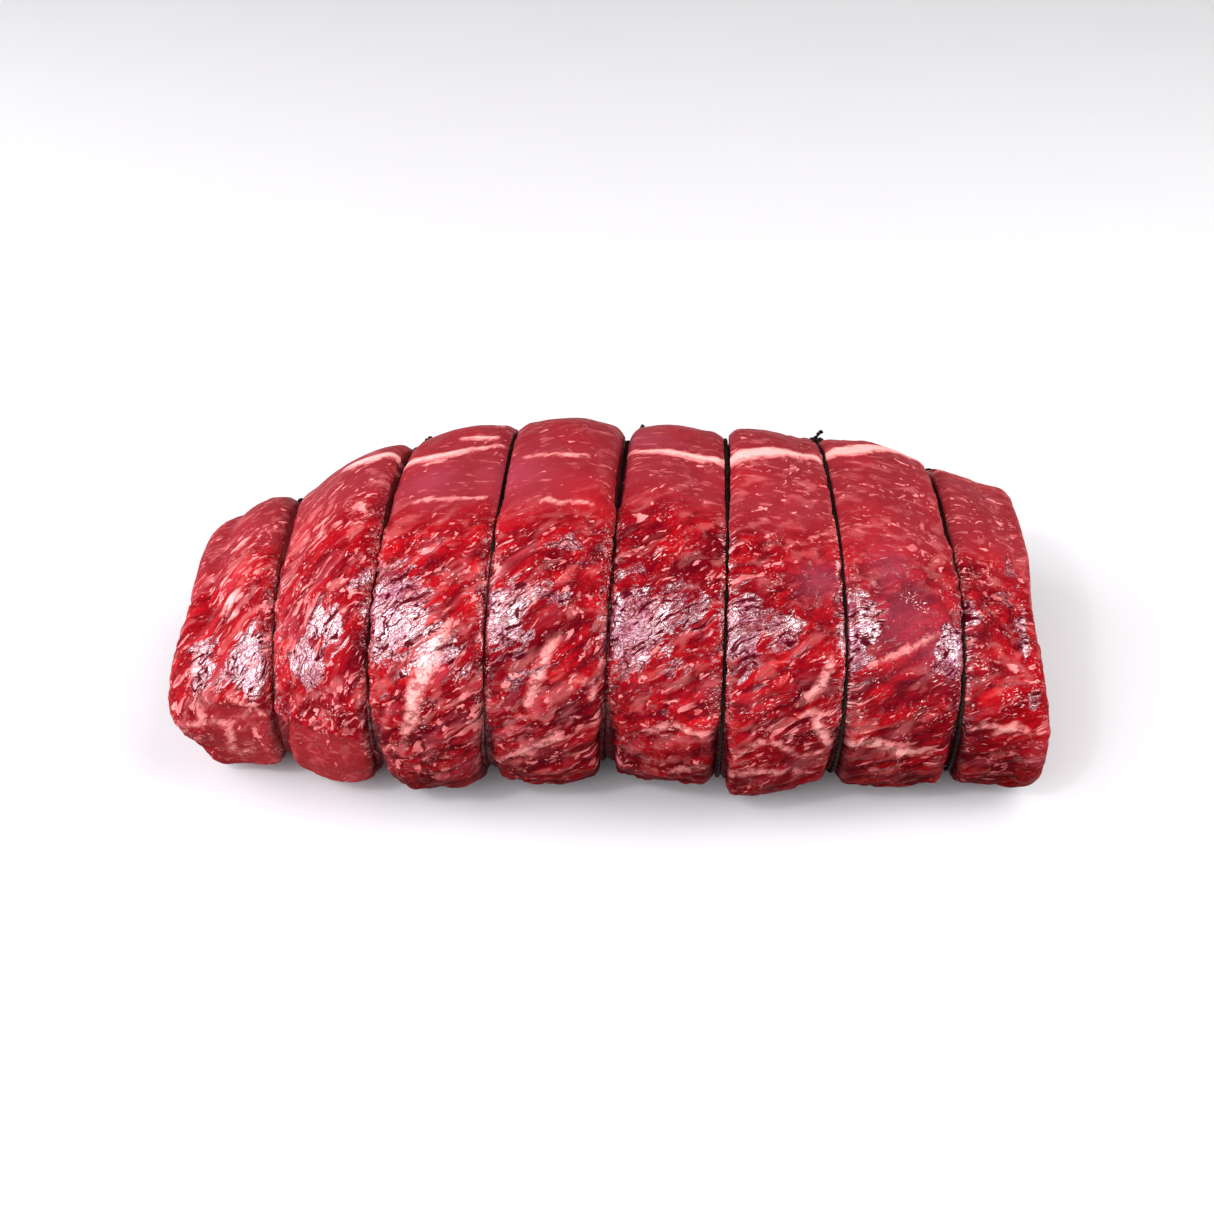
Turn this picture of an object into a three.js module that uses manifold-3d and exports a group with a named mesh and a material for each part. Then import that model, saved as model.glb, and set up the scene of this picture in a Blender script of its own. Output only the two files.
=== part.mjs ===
// A raw beef roast, one piece of meat tied crosswise with seven loops of thin dark twine.
// Millimetres, +Z up. The length lies along X, the front looks along -Y, and the origin is
// on the floor under the middle of the roast.

import * as THREE from "three";
import { mergeVertices } from "three/addons/utils/BufferGeometryUtils.js";
import Module from "manifold-3d";

// Stations along the roast: the left end, the seven ties and the right end.
// front, back and top are the reach of the meat from the middle line and the floor.
// lean and rake tilt the station's plane: how far x moves for each mm of y and of z.
const stations = [
  { x: -106, front: 43.5, back: 33.5, top: 35, lean: -0.06, rake: -0.15 },
  { x: -87, front: 45.5, back: 34, top: 49.5, lean: -0.09, rake: 0 },
  { x: -57, front: 51, back: 44.5, top: 65, lean: 0.005, rake: 0 },
  { x: -28, front: 52.5, back: 48.5, top: 70, lean: 0.01, rake: 0 },
  { x: 2, front: 48, back: 48.5, top: 69.5, lean: 0.02, rake: 0 },
  { x: 29.5, front: 52, back: 49.5, top: 70, lean: 0, rake: 0 },
  { x: 57, front: 50, back: 51.5, top: 66.5, lean: -0.04, rake: 0 },
  { x: 88, front: 44.5, back: 53, top: 55.5, lean: -0.025, rake: 0 },
  { x: 106.5, front: 42.5, back: 51, top: 46.5, lean: -0.01, rake: -0.05 },
];
const rakeHeight = 35; // height at which rake moves nothing

// The eight lobes between the stations: how far each swells past the line of its ties,
// and skew, which moves the fullest place to the left (above zero) or to the right.
const lobes = [
  { frontBulge: 2.5, topBulge: 6, skew: 0 },
  { frontBulge: 3.5, topBulge: 5, skew: -0.45 },
  { frontBulge: 4, topBulge: 2, skew: 0.25 },
  { frontBulge: 3.5, topBulge: 5, skew: -0.4 },
  { frontBulge: 1, topBulge: 3.5, skew: 0.65 },
  { frontBulge: 2, topBulge: 2, skew: 0.85 },
  { frontBulge: 1.5, topBulge: 3, skew: -0.3 },
  { frontBulge: 1, topBulge: 3, skew: 0 },
];
const backBulge = 3;
const lobeRoundness = 2.4; // exponent of a lobe's swelling curve, higher is boxier
const tieLift = 3; // the twine pulls the underside this far off the floor
const underSag = 2; // a lobe would sag this far below the floor, which flattens it
const middleHeight = 0.42; // height of a section's widest place, as a share of its height
const topSquareness = 2.5; // exponents of the section's outline
const bottomSquareness = 3;

// Two lobes have a knife-cut flat on the lower front: its direction and its depth
const frontFlats = [
  { lobe: 0, direction: 192, depth: 2 },
  { lobe: 1, direction: 196, depth: 2 },
];

// The ends: how long and how deep their rounded rim is, how far the cut face bulges, and
// the extra reach of the rim at eight places, from the back over the top and the front
const leftEnd = { length: 8, inset: 7, dome: 3, reach: [-3, -0.5, 0, 0, 3.5, -3, -2, -2] };
const rightEnd = { length: 4, inset: 3.5, dome: 2, reach: [2.5, 1, 0.5, -1, 1.5, -1, 0, 1] };
const reachFade = 0.8; // share of the end lobe over which the reach fades out
const undercut = { x: -115, below: 27.5, slope: 0.47 }; // the left end slants in under this height

const twineDiameter = 2;
const twineGap = 0.3; // air between the twine and the meat
const slotDepth = 2.3; // the twine's slot in the bottom of each groove
const slotHalfFloor = 1.4;
const slotHalfMouth = 2.3;

// Each tie's knot sits on the back: its direction, and its two tails as steps away from
// the knot, in shares of a lobe, degrees, and mm above the meat
const knotLength = 5.6;
const knotWidth = 4.6;
const knotRise = 3.1; // height of the knot's middle over the slot's floor
const knots = [
  { at: 24, tails: [[[0.1, 5, 2.4], [0.26, 3, 1.6]], [[-0.08, -5, 2.4], [-0.14, -13, 1.6]]] },
  { at: 35, tails: [[[0.07, 8, 3], [0.15, 12, 3]], [[-0.06, -6, 2.6], [-0.1, -15, 1.8]]] },
  { at: 14, tails: [[[0.1, -2, 2.6], [0.25, -7, 1.7]], [[-0.09, 5, 2.6], [-0.2, 9, 1.7]]] },
  { at: 19, tails: [[[0.08, 6, 2.6], [0.13, 14, 1.8]], [[-0.1, 1, 2.4], [-0.27, 3, 1.6]]] },
  { at: 16, tails: [[[0.09, 5, 2.6], [0.2, 11, 1.8]], [[-0.08, -5, 2.6], [-0.18, -12, 1.7]]] },
  { at: 36, tails: [[[0.02, 4, 4], [0.03, 8, 5.5]], [[0.1, -5, 2.6], [0.17, -13, 1.8]]] },
  { at: 20, tails: [[[0.12, 2, 2.4], [0.28, 6, 1.6]], [[-0.09, -5, 2.6], [-0.17, -11, 1.8]]] },
];

// How finely the solids are faceted
const angleSteps = 40;
const lobeSteps = [0.2, 0.38, 0.62, 0.8];
const rimSteps = [0.4, 0.75, 1];
const faceSteps = [0.66, 0.33];
const twineSides = 6;
const tailSteps = 5;
const knotDetail = 1;

const meatMaterial = new THREE.MeshStandardMaterial({
  name: "beef",
  color: 0xa5222f,
  roughness: 0.35,
  metalness: 0,
});
const twineMaterial = new THREE.MeshStandardMaterial({
  name: "twine",
  color: 0x1c1813,
  roughness: 0.85,
  metalness: 0,
});

const wasm = await Module();
wasm.setup();

const lastStation = stations.length - 1;
const clamp = THREE.MathUtils.clamp;
const radians = THREE.MathUtils.degToRad;

// The smooth curve through four values, between the two in the middle
function throughFour(before, from, to, after, t) {
  const slope = to - before;
  const bend = 2 * before - 5 * from + 4 * to - after;
  const twist = 3 * from - before - 3 * to + after;
  return from + (slope * t + bend * t * t + twist * t * t * t) / 2;
}

// A station value at place s along the roast, 0 at the left end and 8 at the right end
function along(key, s) {
  const i = Math.min(Math.floor(s), lastStation - 1);
  const value = (n) => stations[clamp(n, 0, lastStation)][key];
  return throughFour(value(i - 1), value(i), value(i + 1), value(i + 2), s - i);
}

// A value of a list that runs once round the section, at an angle
function around(list, angle) {
  const place = (((angle / (2 * Math.PI)) % 1) + 1) * list.length;
  const i = Math.floor(place);
  const value = (n) => list[(n + list.length) % list.length];
  return throughFour(value(i - 1), value(i), value(i + 1), value(i + 2), place - i);
}

// How full a lobe is at place s: 0 at its ties, 1 in its middle and at the roast's ends
function fullness(s, lobe) {
  let t = s - lobe;
  t += lobes[lobe].skew * t * (1 - t);
  const outerHalf = (lobe === 0 && t < 0.5) || (lobe === lobes.length - 1 && t > 0.5);
  return outerHalf ? 1 : 1 - Math.abs(2 * t - 1) ** lobeRoundness;
}

// Low unevenness of the meat, in mm
function unevenness(s, angle) {
  return 0.5 * Math.sin(3 * angle + 2.1 * s) + 0.35 * Math.sin(5 * angle - 3.3 * s + 1);
}

// The section at place s: a rounded box that is widest a little below its middle
function sectionAt(s) {
  const lobe = Math.min(Math.floor(s), lobes.length - 1);
  const full = fullness(s, lobe);
  const front = along("front", s) + lobes[lobe].frontBulge * full;
  const back = along("back", s) + backBulge * full;
  const top = along("top", s) + lobes[lobe].topBulge * full;
  const floor = tieLift * (1 - full);
  const middleZ = floor + middleHeight * (top - floor);
  const halfWidth = (front + back) / 2;

  function rounded(angle) {
    const up = Math.sin(angle) > 0;
    const reach = up ? top - middleZ : middleZ - floor + underSag * full;
    const power = up ? topSquareness : bottomSquareness;
    const across = Math.abs(Math.cos(angle) / halfWidth) ** power;
    const upright = Math.abs(Math.sin(angle) / reach) ** power;
    return (across + upright) ** (-1 / power);
  }

  function radius(angle) {
    let r = rounded(angle);
    for (const flat of frontFlats) {
      const direction = radians(flat.direction);
      const facing = Math.cos(angle - direction);
      if (flat.lobe === lobe && facing > 0.15)
        r = Math.min(r, (rounded(direction) - flat.depth * full) / facing);
    }
    return r + unevenness(s, angle);
  }

  return { s, middleY: (back - front) / 2, middleZ, radius };
}

// A point of the meat's skin. rim goes from 0 to 1 over an end's rounded edge, left end at
// s = 0 and right end at s = 8, raise lifts the point off the skin, and shift moves it along X
function skinPoint(s, angle, { rim = 0, raise = 0, shift = 0 } = {}) {
  const section = sectionAt(s);
  let r = section.radius(angle) + raise;
  let x = along("x", s) + shift;
  for (const [end, side, away] of [[leftEnd, -1, s], [rightEnd, 1, lastStation - s]]) {
    const fade = clamp(1 - away / reachFade, 0, 1) ** 2;
    x += side * around(end.reach, angle) * fade;
    if (away === 0) {
      r -= end.inset * (1 - Math.cos((rim * Math.PI) / 2));
      x += side * end.length * Math.sin((rim * Math.PI) / 2);
    }
  }
  const y = section.middleY + r * Math.cos(angle);
  const z = Math.max(section.middleZ + r * Math.sin(angle), 0);
  x += along("lean", s) * y + along("rake", s) * (z - rakeHeight);
  x = Math.max(x, undercut.x + undercut.slope * Math.max(undercut.below - z, 0));
  return new THREE.Vector3(x, y, z);
}

// Closed rings of points, one after the other, joined into one closed skin.
// Each end closes on its ring's middle point, or the last ring joins the first.
function skinOverRings(rings, endPoints) {
  const count = rings[0].length;
  const positions = rings.flat().concat(endPoints).flatMap((p) => p.toArray());
  const triangles = [];
  const spans = endPoints.length ? rings.length - 1 : rings.length;
  for (let i = 0; i < spans; i++) {
    const a = i * count;
    const b = ((i + 1) % rings.length) * count;
    for (let j = 0; j < count; j++) {
      const k = (j + 1) % count;
      triangles.push(a + j, b + k, b + j, a + j, a + k, b + k);
    }
  }
  const last = (rings.length - 1) * count;
  for (let j = 0; endPoints.length && j < count; j++) {
    const k = (j + 1) % count;
    triangles.push(rings.length * count, k, j);
    triangles.push(rings.length * count + 1, last + j, last + k);
  }
  const geometry = new THREE.BufferGeometry();
  geometry.setAttribute("position", new THREE.Float32BufferAttribute(positions, 3));
  geometry.setIndex(triangles);
  return geometry;
}

function solidOf(geometry) {
  const bare = geometry.clone();
  for (const name of ["normal", "uv"]) bare.deleteAttribute(name);
  const merged = mergeVertices(bare, 1e-3);
  const vertProperties = new Float32Array(merged.attributes.position.array);
  const triVerts = new Uint32Array(merged.index.array);
  return new wasm.Manifold(new wasm.Mesh({ numProp: 3, vertProperties, triVerts }));
}

function geometryOf(solid) {
  const mesh = solid.getMesh();
  const geometry = new THREE.BufferGeometry();
  geometry.setAttribute("position", new THREE.Float32BufferAttribute(mesh.vertProperties, 3));
  geometry.setIndex(Array.from(mesh.triVerts));
  geometry.computeVertexNormals();
  return geometry;
}

const angles = Array.from({ length: angleSteps }, (_, j) => (2 * Math.PI * j) / angleSteps);

// The slot of a tie: mouth, floor, floor, mouth
function slotRings(tie) {
  const leftPitch = stations[tie].x - stations[tie - 1].x;
  const rightPitch = stations[tie + 1].x - stations[tie].x;
  const ring = (s, options) => angles.map((angle) => skinPoint(s, angle, options));
  return [
    ring(tie - slotHalfMouth / leftPitch),
    ring(tie, { raise: -slotDepth, shift: -slotHalfFloor }),
    ring(tie, { raise: -slotDepth, shift: slotHalfFloor }),
    ring(tie + slotHalfMouth / rightPitch),
  ];
}

// The cut face of an end, as rings that shrink towards its middle, and the middle point
function endFace(rim, dome) {
  const middle = new THREE.Vector3();
  for (const point of rim) middle.addScaledVector(point, 1 / rim.length);
  const bulge = (share) => new THREE.Vector3(dome * (1 - share * share), 0, 0);
  const rings = faceSteps.map((share) =>
    rim.map((point) => middle.clone().lerp(point, share).add(bulge(share))),
  );
  return { rings, tip: middle.clone().add(bulge(0)) };
}

function meatGeometry() {
  const rings = [];
  const addRing = (s, options) =>
    rings.push(angles.map((angle) => skinPoint(s, angle, options)));

  for (const rim of [...rimSteps].reverse()) addRing(0, { rim });
  const left = endFace(rings[0], -leftEnd.dome);
  rings.unshift(...[...left.rings].reverse());
  addRing(0);
  for (let lobe = 0; lobe < lobes.length; lobe++) {
    for (const step of lobeSteps) addRing(lobe + step);
    if (lobe < lobes.length - 1) rings.push(...slotRings(lobe + 1));
  }
  addRing(lastStation);
  for (const rim of rimSteps) addRing(lastStation, { rim });
  const right = endFace(rings[rings.length - 1], rightEnd.dome);
  rings.push(...right.rings);
  return skinOverRings(rings, [left.tip, right.tip]);
}

// The loop of a tie lies in its slot, a little proud of the floor
const twineRaise = twineGap + twineDiameter / 2 - slotDepth;

function loopGeometry(tie) {
  const rings = angles.map((angle) => {
    const middle = skinPoint(tie, angle, { raise: twineRaise });
    const outward = skinPoint(tie, angle, { raise: twineRaise + 1 }).sub(middle).normalize();
    const ring = [];
    for (let side = 0; side < twineSides; side++) {
      const turn = (2 * Math.PI * side) / twineSides;
      const point = middle.clone().addScaledVector(outward, (twineDiameter / 2) * Math.sin(turn));
      point.x += (twineDiameter / 2) * Math.cos(turn);
      ring.push(point);
    }
    return ring;
  });
  return skinOverRings(rings, []);
}

// An ellipsoid round the knot, grown all round by margin
function knotGeometry(tie, margin) {
  const angle = radians(knots[tie - 1].at);
  const place = skinPoint(tie, angle, { raise: knotRise - slotDepth });
  const geometry = new THREE.IcosahedronGeometry(1, knotDetail);
  geometry.scale(knotLength / 2 + margin, knotWidth / 2 + margin, knotWidth / 2 + margin);
  return geometry.translate(place.x, place.y, place.z);
}

function tailGeometry(tie, steps) {
  const { at } = knots[tie - 1];
  const start = skinPoint(tie, radians(at), { raise: knotRise - slotDepth });
  const points = steps.map(([sideways, turn, raise]) =>
    skinPoint(tie + sideways, radians(at + turn), { raise }),
  );
  const outline = new THREE.Shape(
    Array.from({ length: twineSides }, (_, side) => {
      const turn = (2 * Math.PI * side) / twineSides;
      return new THREE.Vector2(Math.cos(turn), Math.sin(turn)).multiplyScalar(twineDiameter / 2);
    }),
  );
  return new THREE.ExtrudeGeometry(outline, {
    steps: tailSteps,
    extrudePath: new THREE.CatmullRomCurve3([start, ...points]),
  });
}

function tieGeometry(tie) {
  let solid = solidOf(loopGeometry(tie)).add(solidOf(knotGeometry(tie, 0)));
  for (const steps of knots[tie - 1].tails) solid = solid.add(solidOf(tailGeometry(tie, steps)));
  return geometryOf(solid);
}

// The meat gives way under each knot
function roastGeometry() {
  let solid = solidOf(meatGeometry());
  for (let tie = 1; tie < lastStation; tie++)
    solid = solid.subtract(solidOf(knotGeometry(tie, twineGap)));
  return geometryOf(solid);
}

const tiedRoast = new THREE.Group();
const roast = new THREE.Mesh(roastGeometry(), meatMaterial);
roast.name = "roast";
tiedRoast.add(roast);
for (let tie = 1; tie < lastStation; tie++) {
  const loop = new THREE.Mesh(tieGeometry(tie), twineMaterial);
  loop.name = `tie_${tie}`;
  tiedRoast.add(loop);
}

export default tiedRoast;
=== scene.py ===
"""A raw, well marbled beef roast, tied crosswise with seven loops of thin dark twine.

The meat's skin repeats the CAD solid's sections on a fine grid, and adds what the solid
leaves out: lumps, folds, wrinkles, fat seams and the twine's bite. Lengths are in mm until
a mesh is made, +Z is up and the front faces -Y. A place along the roast is 0 at its left
end, 1 to 7 at the ties and 8 at its right end. A direction round it is 0 at the back, 90
at the top and 180 at the front.
"""

import math

import bpy
import numpy as np
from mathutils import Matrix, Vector


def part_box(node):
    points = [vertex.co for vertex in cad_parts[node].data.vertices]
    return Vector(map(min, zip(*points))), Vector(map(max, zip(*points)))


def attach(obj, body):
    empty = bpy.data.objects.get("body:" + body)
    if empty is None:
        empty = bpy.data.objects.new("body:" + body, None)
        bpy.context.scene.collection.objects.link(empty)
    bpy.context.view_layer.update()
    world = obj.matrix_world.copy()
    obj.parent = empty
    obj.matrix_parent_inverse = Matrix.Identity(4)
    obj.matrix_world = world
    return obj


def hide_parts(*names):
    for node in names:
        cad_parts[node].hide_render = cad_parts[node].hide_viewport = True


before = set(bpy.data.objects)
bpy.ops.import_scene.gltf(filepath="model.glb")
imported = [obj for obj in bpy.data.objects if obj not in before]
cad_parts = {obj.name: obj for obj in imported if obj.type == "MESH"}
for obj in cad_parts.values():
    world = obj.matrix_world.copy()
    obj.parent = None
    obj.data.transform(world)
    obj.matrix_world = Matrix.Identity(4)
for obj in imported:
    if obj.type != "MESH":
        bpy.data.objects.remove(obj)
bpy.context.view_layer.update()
MM = 0.001
FAR = 50.0  # a distance in mm past which nothing is felt

# Stations along the roast: the left end, the seven ties and the right end
STATION_X = [-106, -87, -57, -28, 2, 29.5, 57, 88, 106.5]
STATION_FRONT = [43.5, 45.5, 51, 52.5, 48, 52, 50, 44.5, 42.5]
STATION_BACK = [33.5, 34, 44.5, 48.5, 48.5, 49.5, 51.5, 53, 51]
STATION_TOP = [35, 49.5, 65, 70, 69.5, 70, 66.5, 55.5, 46.5]
STATION_LEAN = [-0.06, -0.09, 0.005, 0.01, 0.02, 0, -0.04, -0.025, -0.01]
STATION_RAKE = [-0.15, 0, 0, 0, 0, 0, 0, 0, -0.05]
RAKE_HEIGHT = 35

# The eight lobes between the stations
LOBE_FRONT_BULGE = np.array([2.5, 3.5, 4, 3.5, 1, 2, 1.5, 1])
LOBE_TOP_BULGE = np.array([6, 5, 2, 5, 3.5, 2, 3, 3])
LOBE_SKEW = np.array([0, -0.45, 0.25, -0.4, 0.65, 0.85, -0.3, 0])
BACK_BULGE = 3
LOBE_ROUNDNESS = 2.4
TIE_LIFT = 3
UNDER_SAG = 2
MIDDLE_HEIGHT = 0.42
TOP_SQUARENESS = 2.5
BOTTOM_SQUARENESS = 3
FRONT_FLATS = [(0, 192, 2), (1, 196, 2)]  # lobe, direction in degrees, depth
FLAT_REACH = 0.15  # cosine of how far round from its direction a flat still cuts
# Unevenness of the skin: height, waves round the roast, their turn from tie to tie, phase
WAVES = [(0.5, 3, 2.1, 0), (0.35, 5, -3.3, 1)]

# The ends: the rounded rim's length and inset, the face's bulge, and the rim's extra reach
LEFT_REACH = [-3, -0.5, 0, 0, 3.5, -3, -2, -2]
RIGHT_REACH = [2.5, 1, 0.5, -1, 1.5, -1, 0, 1]
LEFT_END = {"side": -1, "length": 8, "inset": 7, "dome": 3, "reach": LEFT_REACH}
RIGHT_END = {"side": 1, "length": 4, "inset": 3.5, "dome": 2, "reach": RIGHT_REACH}
REACH_FADE = 0.8
UNDERCUT_X = -115
UNDERCUT_BELOW = 27.5
UNDERCUT_SLOPE = 0.47

LOBES = len(LOBE_SKEW)
TIES = range(1, LOBES)

# Twine: strands wound round each other
STRANDS = 2
STRAND_RADIUS = 0.32
STRAND_OFFSET = 0.26  # from the twine's middle to a strand's
STRAND_SIDES = 7
LAY_LENGTH = 4.4  # in which a strand winds round once
TWINE_STEP = 0.4
LOOP_POINTS = 240
TWINE_RAISE = -1.1  # its middle, from the meat's smooth skin
TWINE_SUNK = -3.1  # where the meat closes over it
TIE_FILL = 1.3  # how far the front's meat stands up beside a tie, over the smooth skin
TIE_FILL_REACH = 4.5

# Knots: half sizes along the roast, round it and outwards, and the gap in radians where the
# tails leave
KNOT_RAISE = 0.8
KNOT_ALONG = 0.713
KNOT_ROUND = 0.575
KNOT_OUT = 0.8625
KNOT_GAP = 0.35
KNOT_POINTS = 14
KNOT_PATH_POINTS = 160
# Each tie's knot: its direction in degrees, and its two tails as steps from the knot, in
# lobes, degrees, and mm above the meat
KNOTS = [
    (22, [[(0.1, 0, 2.2), (0.26, -3, 1.4)], [(-0.08, -5, 2.4), (-0.14, -13, 1.6)]]),
    (26, [[(0.06, 5, 1.5), (0.13, 9, 1.0)], [(-0.06, -6, 2.6), (-0.1, -15, 1.8)]]),
    (14, [[(0.1, -2, 2.6), (0.25, -7, 1.7)], [(-0.09, 5, 2.6), (-0.2, 9, 1.7)]]),
    (19, [[(0.08, 6, 2.6), (0.13, 14, 1.8)], [(-0.1, 1, 2.4), (-0.27, 3, 1.6)]]),
    (15, [[(0.09, 2, 2.4), (0.2, 5, 1.6)], [(-0.08, -5, 2.6), (-0.18, -12, 1.7)]]),
    (28, [[(0.02, 6, 2.6), (0.03, 11, 3.2)], [(0.1, -5, 2.6), (0.17, -13, 1.8)]]),
    (18, [[(0.12, 0, 2.2), (0.28, 1, 1.4)], [(-0.09, -5, 2.6), (-0.17, -11, 1.8)]]),
]

# Where the meat closes over a tie: (tie, from and to in degrees, how far)
CLOSED = [
    (1, 40, 108, 1), (1, 112, 122, 0.8), (1, 129, 137, 0.9), (1, 146, 215, 1),
    (2, 45, 160, 0.55), (2, 160, 215, 0.9), (3, 60, 120, 0.2), (3, 120, 215, 0.7),
    (4, 45, 100, 0.4), (4, 100, 114, 1), (4, 120, 215, 0.7),
    (5, 114, 215, 0.4), (6, 122, 215, 0.3), (7, 40, 215, 0.2),
]
CLOSING = (4, 3)  # degrees over which it closes, outside and inside each range
TIE_WIDEN = [-0.1, -0.08, -0.02, 0, 0.02, 0.05, 0.05]  # how much wider each tie's gap is
CREVICE_BY_TIE = [0.5, 0.5, 0.6, 0.9, 1.0, 1.0, 1.0]  # depth of each gap's foot, and the painted shade in it

# Directions in degrees over which something comes, and over which it goes
FILLED = (92, 110, 172, 195)  # the front, whose meat is full right up to the ties
FRONT_CREVICE = (160, 182, 235, 262)
BACK_CREVICE = (285, 306, 328, 356)
UNDERSIDE = (225, 255)
BACK_TOP = (28, 48)
BACK_FOOT = (280, 320)
FRONT_FOOT = (158, 175)
# Places along the roast
LEFT_PART = (1.6, 2.2)
RIGHT_TIP = (7.7, 7.95)
# Heights over the floor
FOOT = (5, 18)
LOW = (10, 46)
LOWEST = (0, 12)

# Relief: swellings as size, height and seed, and the fat's rise and its sloping edge
SWELLS = [(15, 0.45, 11), (5, 0.16, 21)]
FAT_RISE = 0.28
FAT_SLOPE = (-0.6, 0.5)
# Folds and muscle bundles: size, height, and the clefts between them as depth and width
WARP_SIZE = 6
WARP = 1.4
FOLD_SIZE = 3.0
FOLD_HEIGHT = 0.5
FOLD_RAISE = 0.1
BUNDLE_SIZE = 3.4
BUNDLE_CLEFT = (0.45, 0.2)
SLAB_SIZE = 5.5
SLAB_HEIGHT = 1.2
SLAB_EDGE = (0, 0.35)
SLAB_CLEFT = (0.4, 0.15)
# Beside a tie: pleats, then heights and depths, each with its distance from the tie and width
PLEAT_SIZE = 2.2
PLEAT_STRETCH = np.array([0.12, 1, 1])
PLEATS = (0.5, 3.2)
SHOULDER = (0.5, 3.2, 2.0)
DIP = (0.7, 1.1)
CREVICE = (2.2, 0, 2.2)
CHANNEL_DEPTH = 2.5
CHANNEL_EDGE = (0.3, 0.5)
CLOSED_DIP = (1.8, 0.5)
# At the edge of a knife-cut flat
LIP = (1.5, -2.4, 3.0)
TUCK_DEPTH = 2.3
TUCK = (-0.6, 1.4, 3, 17)
CUT_EDGE = (-0.5, 1.0)

# The fine grid: rings along the roast, and points round each ring, closer in the front
STEP_ALONG = 1.05
STEPS_BY_TIE = [0.3, 0.5, 0.7, 1.1, 1.7, 2.5, 3.5]
RIM_STEPS = 8
FACE_STEPS = 22
FRONT_ARC = (28, 216)
FRONT_POINTS = 226
HIDDEN_POINTS = 74

# Camera, as the photograph was taken
CAMERA_ELEVATION = 42
CAMERA_AZIMUTH = 3
CAMERA_DISTANCE = 420
CAMERA_TARGET = (-1, 0, 29.2)
FOCAL_PIXELS = 1536
PHOTO_PIXELS = 1214
SENSOR_WIDTH = 36
CLIP_START = 0.01

# Studio, in m: name, azimuth and elevation in degrees, distance, size, power in W, colour
LIGHTS = [
    ("key", -60, 40, 1.2, (1.3, 1.3), 20, (0.97, 0.94, 1.0)),
    ("glint", -40, 52, 1.0, (0.09, 0.09), 2, (0.95, 0.95, 1.0)),
    ("left", -92, 17, 0.9, (0.7, 0.5), 6, (0.94, 0.94, 1.0)),
    ("front", -4, 42, 1.3, (1.0, 0.9), 5, (0.97, 0.95, 1.0)),
    ("right", 80, 30, 0.9, (0.5, 0.7), 7, (0.94, 0.94, 1.0)),
    ("top", 105, 62, 1.2, (0.9, 0.6), 7, (1.0, 0.97, 0.93)),
]
LIGHTS_AIM = (0, 0, 0.03)
SURROUNDINGS = 0.08
FLOOR_SIZE = 6


# Shape of the meat

def ease(low, high, value):
    """0 under low, 1 over high, smooth between."""
    t = np.clip((value - low) / (high - low), 0, 1)
    return t * t * (3 - 2 * t)


def between(start, full, fading, end, value):
    """1 from full to fading, 0 before start and after end, smooth between."""
    return ease(start, full, value) * (1 - ease(fading, end, value))


def hump(height, middle, width, value):
    return height * np.exp(-((value - middle) / width) ** 2)


def falling(height, reach, distance):
    """height at no distance, and less and less away from there."""
    return height * np.exp(-distance / reach)


def through_four(before, start, end, after, t):
    """The smooth curve through four values, between the two in the middle."""
    bend = 2 * before - 5 * start + 4 * end - after
    twist = 3 * start - before - 3 * end + after
    return start + ((end - before) * t + bend * t * t + twist * t ** 3) / 2


def along(values, s):
    """A list's value at place s, where its first one is at 0 and the next at 1."""
    values = np.asarray(values, float)
    last = len(values) - 1
    i = np.clip(np.floor(s).astype(int), 0, last - 1)
    four = (values[np.clip(i + n, 0, last)] for n in (-1, 0, 1, 2))
    return through_four(*four, s - i)


def around(values, angle):
    """The value at an angle of a list that runs once round the section."""
    values = np.asarray(values, float)
    place = (angle / (2 * np.pi)) % 1 * len(values)
    i = np.floor(place).astype(int)
    four = (values[(i + n) % len(values)] for n in (-1, 0, 1, 2))
    return through_four(*four, place - i)


def lobe_of(s):
    return np.clip(np.floor(s).astype(int), 0, LOBES - 1)


def fullness(s):
    """0 at a lobe's ties, 1 in its middle and at the roast's ends."""
    lobe = lobe_of(s)
    t = s - lobe
    t = t + LOBE_SKEW[lobe] * t * (1 - t)
    outer_half = ((lobe == 0) & (t < 0.5)) | ((lobe == LOBES - 1) & (t > 0.5))
    return np.where(outer_half, 1.0, 1 - np.abs(2 * t - 1) ** LOBE_ROUNDNESS)


def unevenness(s, angle):
    return sum(height * np.sin(n * angle + turn * s + phase) for height, n, turn, phase in WAVES)


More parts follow.
